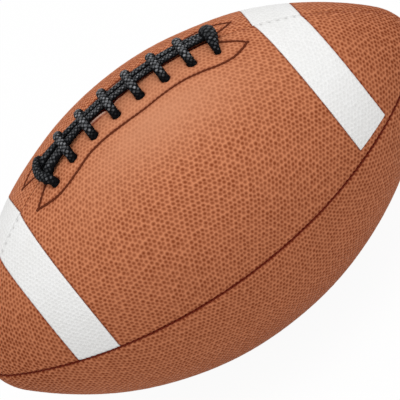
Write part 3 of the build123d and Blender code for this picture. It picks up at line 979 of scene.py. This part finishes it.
# The first and last rungs reach further to the front; the left one bows out round the strands' ends
left_rung = [over_seam(-0.0506, -0.0119, -inner_depth), over_seam(-0.0507, -0.0113, 0.0022, 1.15),
             over_seam(-0.0552, -0.0050, 0.0042, 1.20), over_seam(-0.0535, 0.0032, 0.0050, 1.20),
             over_seam(-0.0499, 0.0086, 0.0034, 1.15), over_seam(-0.0499, 0.0096, -inner_depth)]
right_rung = [over_seam(0.0517, -0.0114, -inner_depth, 0.45), over_seam(0.0520, -0.0112, 0.0012, 0.85),
              over_seam(0.0544, -0.0042, 0.0052, 1.65), over_seam(0.0544, 0.0018, 0.0050, 1.85),
              over_seam(0.0540, 0.0066, 0.0018, 1.80), over_seam(0.0537, 0.0086, -inner_depth, 1.2)]
rungs = [left_rung] + [rung_route(i) for i in range(1, last_rung)] + [right_rung]

route = [over_seam(strand_dives[0] - lace_tail, strand_left_sides["front"], -inner_depth)]
route += strand_route("front")
for rung in reversed(rungs):
    route += rung
route += strand_route("rear") + [over_seam(strand_dives[1] + lace_tail, strand_sides["rear"], -inner_depth)]


def spline_points(name, places):
    """Points along one smooth spline that has the places as its control points"""
    curve = bpy.data.curves.new(name, "CURVE")
    curve.dimensions = "3D"
    spline = curve.splines.new("NURBS")
    spline.points.add(len(places) - 1)
    for point, place in zip(spline.points, places):
        point.co = (*place, 1.0)
    spline.order_u = 3
    spline.use_endpoint_u = True
    spline.resolution_u = 12
    guide = put_in(name, curve)
    mesh = plain_mesh(guide)
    points = np.array([vertex.co for vertex in mesh.vertices])
    bpy.data.objects.remove(guide)
    bpy.data.meshes.remove(mesh)
    return points


route_points = spline_points("lace_route", [place[:3] for place in route])
route_sizes = spline_points("lace_sizes", [(place[3], 0, 0) for place in route])[:, 0]

yarn_step = 0.00062
run = np.concatenate([[0], np.cumsum(np.linalg.norm(np.diff(route_points, axis=0), axis=1))])
lace_length = run[-1]
stations = np.linspace(0, lace_length, int(lace_length / yarn_step) + 1)
centre = np.stack([np.interp(stations, run, route_points[:, k]) for k in range(3)], axis=-1)
girth = np.interp(stations, run, route_sizes)
tangent = np.gradient(centre, axis=0)
tangent /= np.linalg.norm(tangent, axis=1)[:, None]
across = np.zeros_like(tangent)
across[0] = np.cross(tangent[0], (0, 1, 0))
for k in range(1, len(stations)):
    carried = across[k - 1] - tangent[k] * (across[k - 1] @ tangent[k])
    across[k] = carried / np.linalg.norm(carried)
across[0] /= np.linalg.norm(across[0])
beside = np.cross(tangent, across)
axis_follow = 0.45
outward = centre - np.array([0, 0, axis_height])
outward[:, 0] -= centre[:, 0] * axis_follow
outward /= np.linalg.norm(outward, axis=1)[:, None]

yarn_pairs = 5
braid_pitch = 0.0110
yarn_wave = 0.00022
yarn_half_width = 0.00076
yarn_half_height = 0.00042
yarn_sides = 6
core_radius = 0.0015
core_sides = 8
flat_share = 0.84
wide_share = 1.12
# Painted glints on the yarn crests: their sharpness, the outward-facing side that carries them, and where
# they are cut for shade at the lace's ends, on the strands (most at the left) and at the steep feet
crest_power = 1.5
lit_range = (0.0, 0.85)
end_glint_cut_share = 0.5
end_glint_cut_places = (0.0475, 0.0515)
strand_glint_cut_shares = (0.45, 0.20)
strand_glint_cut_places = (-0.030, -0.018)
strand_run_end = (0.130, 0.140)
foot_glint_cut_share = 0.65
foot_slopes = (0.74, 0.96)
from_end = np.minimum(stations, lace_length - stations)
on_strand = 1 - smooth_rise(from_end, *strand_run_end)
strand_glint_cut = np.interp(centre[:, 0], strand_glint_cut_places, strand_glint_cut_shares)
end_glint_cut = end_glint_cut_share * smooth_rise(np.abs(centre[:, 0]), *end_glint_cut_places)
steep = smooth_rise(np.abs(np.sum(tangent * outward, axis=1)), *foot_slopes)


def tube(middle, first, second, first_size, second_size, sides):
    """Points and faces of a closed tube of oval section along a line"""
    turns = np.arange(sides) / sides * 2 * pi
    ring = (first[:, None, :] * (np.cos(turns) * first_size)[None, :, None]
            + second[:, None, :] * (np.sin(turns) * second_size)[None, :, None])
    points = (middle[:, None, :] + ring).reshape(-1, 3)
    index = np.arange(len(points)).reshape(len(middle), sides)
    after = np.roll(index, -1, axis=1)
    faces = np.stack([index[:-1], after[:-1], after[1:], index[1:]], axis=-1).reshape(-1, 4).tolist()
    faces += [index[0, ::-1].tolist(), index[-1].tolist()]
    return points, faces


def press(points, middle, away, sizes):
    """Flattens a round braid against the ball, widens it and gives it its size along the lace"""
    count = len(points) // len(middle)
    middle = np.repeat(middle, count, axis=0)
    away = np.repeat(away, count, axis=0)
    spread = (points - middle) * np.repeat(sizes, count)[:, None]
    high = np.sum(spread * away, axis=1)[:, None] * away
    return middle + high * flat_share + (spread - high) * wide_share


lace_points, lace_faces, lace_painted_glints = [], [], []


def add_strand(points, faces, painted_glints):
    """Adds one closed strand to the mesh of the lace"""
    shift = sum(len(block) for block in lace_points)
    lace_points.append(points)
    lace_faces.extend([[shift + k for k in face] for face in faces])
    lace_painted_glints.append(painted_glints)


core_points, core_faces = tube(centre, across, beside, core_radius, core_radius, core_sides)
add_strand(press(core_points, centre, outward, girth), core_faces, np.zeros(len(core_points)))
yarn_middle_radius = lace_radius - yarn_half_height - yarn_wave
yarn_top = np.clip(np.sin(np.arange(yarn_sides) / yarn_sides * 2 * pi), 0, 1)
for hand in (1, -1):
    for pair in range(yarn_pairs):
        turn = 2 * pi * (pair / yarn_pairs + hand * stations / braid_pitch)
        crest = hand * np.cos(2 * pi * yarn_pairs * stations / braid_pitch)
        out = across * np.cos(turn)[:, None] + beside * np.sin(turn)[:, None]
        middle = centre + out * (yarn_middle_radius + yarn_wave * crest)[:, None]
        course = np.gradient(middle, axis=0)
        course /= np.linalg.norm(course, axis=1)[:, None]
        flank = np.cross(out, course)
        flank /= np.linalg.norm(flank, axis=1)[:, None]
        rise = np.cross(course, flank)
        points, faces = tube(middle, flank, rise, yarn_half_width, yarn_half_height, yarn_sides)
        # Painted highlight: glint strength on each yarn, on its outward side only and cut where the braid
        # lies in shade
        lit = smooth_rise(np.sum(out * outward, axis=1), *lit_range) * (1 - end_glint_cut)
        lit = lit * (1 - strand_glint_cut * on_strand) * (1 - foot_glint_cut_share * steep)
        painted_glints = ((np.clip(crest, 0, 1) ** crest_power * lit)[:, None] * yarn_top[None, :]).ravel()
        add_strand(press(points, centre, outward, girth), faces, painted_glints)

lace_mesh = bpy.data.meshes.new("lace_braid")
lace_mesh.from_pydata(np.concatenate(lace_points).tolist(), [], lace_faces)
lace_mesh.polygons.foreach_set("use_smooth", np.ones(len(lace_faces), bool))
painted_glints = lace_mesh.attributes.new("painted_light", "FLOAT", "POINT")
painted_glints.data.foreach_set("value", np.concatenate(lace_painted_glints))
lace_mesh.update()
lace_braid = put_in("lace_braid", lace_mesh)

lace_yarn, shader, start = start_finish("lace_yarn")
painted_light = look_of(start, "painted_light")
fibre = grain(start, 2200.0, 4.0)
# Painted glints: pale grey flecks on the black yarn, scattered by noise
glint_scatter = ((grain(start, 500.0, 2.0) - 0.15) * 1.7).clip()
painted_glint = ((painted_light - 0.12) * 1.5).clip() * glint_scatter
yarn_colour = painted_glint.between((0.004, 0.0043, 0.0055, 1), (0.41, 0.42, 0.44, 1))
feed(shader, "Base Color", yarn_colour.tint(fibre.between((0.6, 0.6, 0.6, 1), (1.2, 1.2, 1.2, 1))))
feed(shader, "Roughness", 0.5 + fibre * 0.25)
feed(shader, "Normal", relief(start, fibre, 0.00012))
shader.inputs["Specular IOR Level"].default_value = 0.05
lace_mesh.materials.append(lace_yarn)
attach(lace_braid, "root")
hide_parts("lace")


# Stage: a plain pale floor under the ball, a large soft light above the lacing, a weaker one
# at the front, and the camera at the photograph's place, turned on its side as it was held.

floor_half = 6.0
floor_corners = [(-floor_half, -floor_half, 0), (floor_half, -floor_half, 0), (floor_half, floor_half, 0),
                 (-floor_half, floor_half, 0)]
floor_mesh = bpy.data.meshes.new("floor")
floor_mesh.from_pydata(floor_corners, [], [(0, 1, 2, 3)])
floor = put_in("floor", floor_mesh)


def seen_rays(start):
    """1 for the rays that show the backdrop, straight or reflected, and 0 for those that light the ball"""
    camera = start.node("ShaderNodeLightPath", {}, {}, "Is Camera Ray")
    return (camera + camera.beside("Is Glossy Ray") + camera.beside("Is Transmission Ray")).clip()


def start_backdrop(backdrop):
    """A signal to start the nodes of a bare material or world from"""
    backdrop.use_nodes = True
    backdrop.node_tree.nodes.clear()
    return Signal(backdrop.node_tree)


def end_backdrop(lighting, shown, output):
    """Ends a backdrop's nodes: one side of it lights the ball and the other is seen"""
    mixed = lighting.node("ShaderNodeMixShader", {}, {0: seen_rays(lighting), 1: lighting, 2: shown})
    lighting.node(output, {}, {"Surface": mixed}, None)


floor_paint = bpy.data.materials.new("floor_paint")
start = start_backdrop(floor_paint)
floor_glow_share = 0.94
bounce = start.node("ShaderNodeBsdfDiffuse", {}, {"Color": (0.66, 0.66, 0.66, 1)})
matt = start.node("ShaderNodeBsdfDiffuse", {}, {"Color": (0.95, 0.95, 0.95, 1)})
glow = start.node("ShaderNodeEmission", {}, {"Color": (1, 1, 1, 1), "Strength": 1.0})
shown = start.node("ShaderNodeMixShader", {}, {0: floor_glow_share, 1: matt, 2: glow})
end_backdrop(bounce, shown, "ShaderNodeOutputMaterial")
floor_mesh.materials.append(floor_paint)
floor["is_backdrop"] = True

world = bpy.data.worlds.new("studio")
bpy.context.scene.world = world
start = start_backdrop(world)
fill_strength = 0.72
white = start.node("ShaderNodeBackground", {}, {"Color": (1, 1, 1, 1), "Strength": 1.0})
fill = start.node("ShaderNodeBackground", {}, {"Color": (1, 1, 1, 1), "Strength": fill_strength})
end_backdrop(fill, white, "ShaderNodeOutputWorld")

ball_middle = Vector((0, 0, axis_height))
# Each lamp's place, width and power
lamps = {"top_light": ((0.2, -0.25, 1.5), 1.0, 8.3), "front_light": ((0.1, -1.8, 0.8), 1.2, 3.6)}
for name, (place, width, power) in lamps.items():
    lamp_data = bpy.data.lights.new(name, "AREA")
    lamp_data.size = width
    lamp_data.energy = power
    lamp = put_in(name, lamp_data)
    lamp.location = place
    lamp.rotation_euler = (ball_middle - Vector(place)).to_track_quat("-Z", "Y").to_euler()
    lamp.visible_camera = False

view_turn = radians(0.151)
view_height = radians(34.385)
view_roll = radians(-38.735)
view_distance = 2.2651
view_aim = ball_middle + Vector((-0.0005, -0.0004, -0.0006))
looking = Vector((sin(view_turn) * cos(view_height), cos(view_turn) * cos(view_height), -sin(view_height)))
camera_data = bpy.data.cameras.new("camera")
camera_data.lens = 405.0
camera_data.sensor_width = 36.0
camera = put_in("camera", camera_data)
camera.location = view_aim - looking * view_distance
camera.rotation_euler = (looking.to_track_quat("-Z", "Y") @ Quaternion((0, 0, 1), view_roll)).to_euler()
bpy.context.scene.camera = camera
bpy.context.scene.view_settings.view_transform = "Standard"

low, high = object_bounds()
